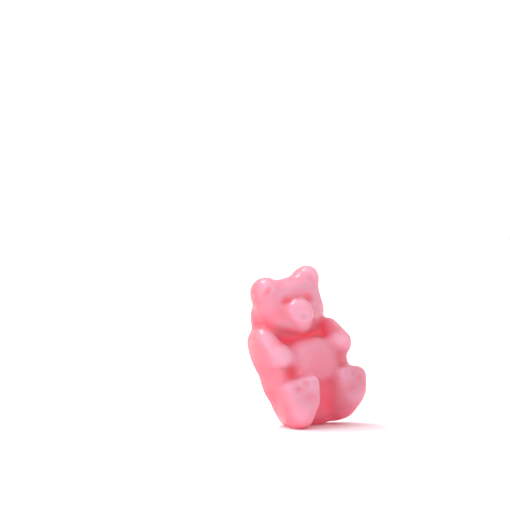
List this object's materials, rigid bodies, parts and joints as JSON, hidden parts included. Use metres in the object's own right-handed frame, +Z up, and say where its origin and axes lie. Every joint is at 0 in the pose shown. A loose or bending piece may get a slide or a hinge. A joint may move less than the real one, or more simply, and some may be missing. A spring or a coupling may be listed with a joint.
{
  "type": "gummy bear",
  "caption": "Small translucent pink jelly sweet in the shape of a sitting bear, paws on its tummy, leaning back on one heel and its rump.",
  "frame": {"origin": "bottom centre of the bear's box, at the level of the surface it rests on", "axes": "+Z up, -Y towards the side its face and soles look to, +X to the right as seen from the front"},
  "size_m": [0.0176, 0.013, 0.0239],
  "materials": {
    "pink_jelly": "soft gloss, milky and translucent"
  },
  "bodies": {
    "root": {"gummy_bear": "pink_jelly"}
  },
  "joints": []
}
